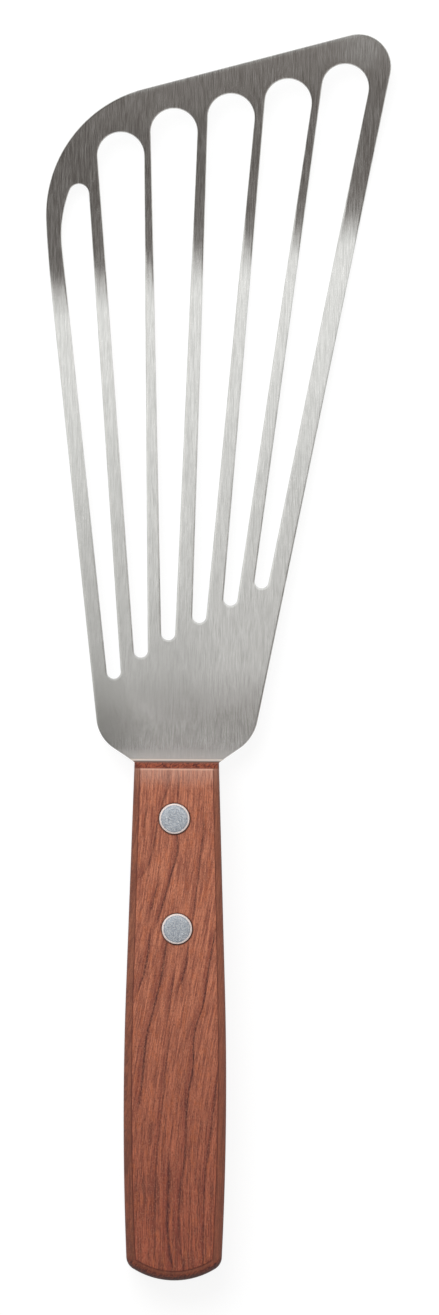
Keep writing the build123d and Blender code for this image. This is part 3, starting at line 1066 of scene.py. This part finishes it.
wood = rosewood()
block = Shape("handle_block", {
    "Kerf Height": kerf_height,
    "Kerf Depth": kerf_depth,
    "Point Spacing": 2.6 * mm,
    "Finish": wood,
})
rim, outline = rounded_curves(block)
handle_y = block.split(block.node("GeometryNodeInputPosition"))[1]
plank = rimmed_plate(block, rim, outline, block["Point Spacing"], band_growth(handle_y))
kerf_size = block.vector(half_taper * 2 + overrun, block["Kerf Depth"] + overrun, block["Kerf Height"])
kerf = block.node("GeometryNodeMeshCube", {}, {"Size": kerf_size})
kerf_place = block.vector(0.0, (overrun - block["Kerf Depth"]) / 2, mid_height)
tools = [block.node("GeometryNodeTransform", {}, {"Geometry": kerf, "Translation": kerf_place})]
upper_seat = rivet_boxes[0][1].z - rivet_head_thickness
lower_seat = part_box("front_rivet_sleeve")[0].z + rivet_head_thickness
for radius, low, high in (
    (rivet_hole_radius, -overrun, handle_thickness + overrun),
    (counterbore_radius, upper_seat, upper_seat + overrun),
    (counterbore_radius, lower_seat - overrun, lower_seat),
):
    bore = block.node(
        "GeometryNodeMeshCylinder", {}, {"Vertices": bore_points, "Radius": radius, "Depth": high - low}
    )
    raised = block.node(
        "GeometryNodeTransform", {}, {"Geometry": bore, "Translation": (0, 0, (low + high) / 2)}
    )
    tools.append(block.node("GeometryNodeRealizeInstances", {}, {"Geometry": on_rivets(block, raised)}))
cut_block = block.node(
    "GeometryNodeMeshBoolean",
    {"operation": "DIFFERENCE", "solver": "EXACT"},
    {"Mesh 1": plank, "Mesh 2": tools},
)
finished(block, cut_block)
handle = block.mesh("wooden_handle", lines_mesh("handle_lines", [handle_section, handle_corners]))
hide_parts("handle")
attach(handle, "root")


# Compression rivets: soft aluminium, each a sleeve from below with a post pressed into it from above.
# Their flat heads lie in the counterbores, the upper ones a little proud of the wood.
rivet_head_radius = 3.375 * mm
rivet_head_edge = 0.25 * mm
rivet_face = 1.5 * mm
pin_radius = 1.48 * mm
sleeve_radius = 2.2 * mm
bore_radius = 1.5 * mm
rivet_core = 0.7 * mm
rivet_relief = 0.03 * mm
post_low = rivet_boxes[0][0].z
post_high = rivet_boxes[0][1].z
sleeve_low = lower_seat - rivet_head_thickness

# A square with its corners rounded to a full circle is the path that a rivet's section turns on.
circle_corners = [
    (Vector((x, y)) * rivet_head_radius, rivet_head_radius)
    for x, y in ((-1, -1), (1, -1), (1, 1), (-1, 1))
]

# Sections from the upper end to the lower one: distance from the axis, height and corner radius.
post_section = [
    (rivet_face, post_high, 0),
    (rivet_head_radius, post_high, rivet_head_edge),
    (rivet_head_radius, upper_seat, 0),
    (pin_radius, upper_seat, 0),
    (pin_radius, post_low, 0),
    (rivet_core, post_low, 0),
]
sleeve_section = [
    (rivet_core, lower_seat, 0),
    (bore_radius, lower_seat, 0),
    (bore_radius, upper_seat, 0),
    (sleeve_radius, upper_seat, 0),
    (sleeve_radius, lower_seat, 0),
    (rivet_head_radius, lower_seat, 0),
    (rivet_head_radius, sleeve_low, rivet_head_edge),
    (rivet_face, sleeve_low, 0),
]


def rivet_aluminium():
    """Soft pressed aluminium: a dull mottled face, a painted dark ring as the shade of a groove, and a
    painted highlight on the rim.
    """
    finish = Finish("rivet_aluminium")
    mottle = finish.noise((1.0, 1.0, 1.0), 3, 2.0)
    grit = finish.noise((0.5, 0.5, 0.5), 2, 6.0)
    tone = finish.soft_step(mottle * 0.5 + grit * 0.5, 0.43, 0.57)
    pink = finish.soft_step(finish.noise((0.8, 0.8, 0.8), 2, 13.0), 0.52, 0.66)
    radius = finish.at_most(*[finish.gap(centre) for centre in rivet_places])
    # Painted shade of a groove inside the rim, and a painted highlight on the rim, which is also made less
    # metallic so that it lights up.
    groove_shade = finish.soft_step(radius, 2.65, 2.85) * finish.fade(radius, 2.88, 2.98)
    rim_highlight = finish.soft_step(radius, 2.95, 3.05)
    shade = finish.painted(
        finish.blend(tone, colour(178, 192, 207), colour(235, 240, 243)),
        (pink * 0.4, (226, 212, 216)),
        (groove_shade * 0.35, (120, 130, 143)),
        (rim_highlight, (237, 222, 216)),
    )
    return finish.done({
        "Base Color": shade,
        "Metallic": 0.84 - rim_highlight * 0.64,
        "Roughness": 0.3 + 0.18 * tone,
        "Normal": finish.relief(mottle * 0.6 + grit * 0.4, rivet_relief),
    })


aluminium = rivet_aluminium()
for name, section in {"post": post_section, "sleeve": sleeve_section}.items():
    turned = Shape("rivet_" + name, {"Point Spacing": 1.0 * mm, "Finish": aluminium})
    rim, outline = rounded_curves(turned)
    rivet = rimmed_plate(turned, rim, outline, turned["Point Spacing"])
    both = on_rivets(turned, rivet)
    finished(turned, turned.node("GeometryNodeRealizeInstances", {}, {"Geometry": both}))
    line = [(Vector((radius - rivet_head_radius, height)), corner) for radius, height, corner in section]
    rivets = turned.mesh("rivet_" + name + "s", lines_mesh("rivet_lines", [line, circle_corners]))
    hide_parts(*[f"{place}_rivet_{name}" for place in rivet_names])
    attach(rivets, "root")


# Studio: a white floor, a large soft lamp from the upper left and a pale room.
# The steel also mirrors one long reflector overhead, bright over the blade's front and dark
# over the handle.
def stage_plane(name, centre, size):
    """Flat square of the studio, which isn't part of the object."""
    made = bpy.data.meshes.new(name)
    half = size / 2
    corners = [(-half, -half), (half, -half), (half, half), (-half, half)]
    made.from_pydata([(centre.x + x, centre.y + y, centre.z) for x, y in corners], [], [(0, 1, 2, 3)])
    plane = bpy.data.objects.new(name, made)
    bpy.context.scene.collection.objects.link(plane)
    return plane


def empty_tree(owner):
    """Empty node tree of a material or a world."""
    owner.use_nodes = True
    owner.node_tree.nodes.clear()
    return Graph(owner.node_tree)


def seen_rays(graph):
    """1 for what the camera, the metal or a clear thing sees, and 0 for the light on the object."""
    path = graph.node("ShaderNodeLightPath")
    rays = path.out("Is Camera Ray") + path.out("Is Glossy Ray") + path.out("Is Transmission Ray")
    return graph.at_most(rays, 1.0)


def grey(level):
    """Plain grey of this level."""
    return (level, level, level, 1.0)


# The floor that is seen glows nearly white and keeps a faint shadow. The light that it throws
# back on the object comes from a plain grey.
floor_size = 14.0
floor_bounce = 0.4
floor_shadow = 0.18
floor_glow = 0.88
floor = stage_plane("floor", Vector((0, 0, 0)), floor_size)
floor_paint = bpy.data.materials.new("floor_paint")
graph = empty_tree(floor_paint)
seen = seen_rays(graph)
floor_tone = graph.node(
    "ShaderNodeMix",
    {"data_type": "RGBA"},
    {"Factor": seen, "A": grey(floor_bounce), "B": grey(floor_shadow)},
)
matte = graph.node("ShaderNodeBsdfDiffuse", {}, {"Color": floor_tone})
glow = graph.node("ShaderNodeEmission", {}, {"Color": grey(1.0), "Strength": seen * floor_glow})
surface = graph.node("ShaderNodeAddShader", {}, {0: matte, 1: glow})
graph.node("ShaderNodeOutputMaterial", {}, {"Surface": surface})
floor.data.materials.append(floor_paint)

# The reflector's tones run from far behind the handle to past the blade's front, and lie askew.
reflector_height = 0.6
reflector_reach = 0.45
reflector_centre = 0.05
reflector = stage_plane("reflector", Vector((0, reflector_centre, reflector_height)), reflector_reach * 2)
reflector_paint = bpy.data.materials.new("reflector_paint")
graph = empty_tree(reflector_paint)
x, y = graph.split(graph.node("ShaderNodeTexCoord").out("Object"))[:2]
first_tone = -0.40
last_tone = 0.20
most_skew = 0.75
skew_reach = 0.16
skew = most_skew * graph.fade(y, 0.1, 0.15)
place = (y - skew * graph.at_most(x, skew_reach) - first_tone) / (last_tone - first_tone)


def warmed(level):
    """Grey of this level, a little warmer the darker it is."""
    warmth = max(0.0, 0.9 - level)
    return (level * (1 + 0.16 * warmth), level, level * (1 - 0.08 * warmth), 1.0)


# Each tone has its place along the reflector, in metres, and its level, where 1 is white.
tones = [
    (-0.40, 0.26), (-0.34, 0.185), (-0.30, 0.165), (-0.26, 0.14), (-0.20, 0.135), (-0.17, 0.165),
    (-0.12, 0.20), (-0.06, 0.20), (-0.03, 0.16), (0.0, 0.15), (0.012, 0.20), (0.025, 0.44),
    (0.038, 0.69), (0.05, 0.80), (0.07, 0.85), (0.10, 0.84), (0.12, 0.90), (0.13, 1.00),
    (0.145, 1.07), (0.16, 1.13), (0.20, 1.16),
]
ramp = graph.node(
    "ShaderNodeValToRGB",
    {"stops": [((at - first_tone) / (last_tone - first_tone), warmed(level)) for at, level in tones]},
    {"Fac": place},
)

# Over the handle and the heel it is brighter towards the right.
right_gain = 2.6
plain_side = 0.1
left_limit = -0.25
to_right = 1 + right_gain * graph.fade(y, -0.06, 0.04) * graph.at_least(x - plain_side, left_limit)
glow = graph.node("ShaderNodeEmission", {}, {"Color": ramp * to_right})
graph.node("ShaderNodeOutputMaterial", {}, {"Surface": glow})
reflector.data.materials.append(reflector_paint)
reflector.visible_camera = False
reflector.visible_shadow = False
reflector.visible_diffuse = False

lamp = bpy.data.lights.new("softbox", "AREA")
lamp.shape = "DISK"
lamp.size = 0.9
lamp.energy = 10.0
softbox = bpy.data.objects.new("softbox", lamp)
softbox.location = (-0.3, 0.6, 1.0)
softbox.rotation_euler = (Vector((0, 0, 0)) - softbox.location).to_track_quat("-Z", "Y").to_euler()
softbox.visible_glossy = False
bpy.context.scene.collection.objects.link(softbox)

room_level = 0.4
room_rise = 0.3
room = bpy.data.worlds.new("room")
bpy.context.scene.world = room
graph = empty_tree(room)
seen = seen_rays(graph)
ahead = graph.split(graph.node("ShaderNodeTexCoord").out("Generated"))[1]
level = room_level + room_rise * ahead
strength = level + seen * (1.0 - level)
glow = graph.node("ShaderNodeBackground", {}, {"Color": grey(1.0), "Strength": strength})
graph.node("ShaderNodeOutputWorld", {}, {"Surface": glow})


# Camera: straight above, far off with a long lens, so that the raised handle hardly shifts.
# Its height of view, place and small roll are those of the photograph.
frame_height = 0.29114
camera_distance = 4.0
camera_roll = math.radians(0.31)
view_centre = Vector((0.846, -0.175, 7)) * mm
lens = bpy.data.cameras.new("camera")
lens.sensor_width = 36
lens.lens = lens.sensor_width * camera_distance / frame_height
lens.clip_end = camera_distance * 3
camera = bpy.data.objects.new("camera", lens)
camera.location = view_centre + Vector((0, 0, camera_distance))
camera.rotation_euler = (0, 0, camera_roll)
bpy.context.scene.collection.objects.link(camera)
bpy.context.scene.camera = camera
bpy.context.scene.view_settings.view_transform = "Standard"
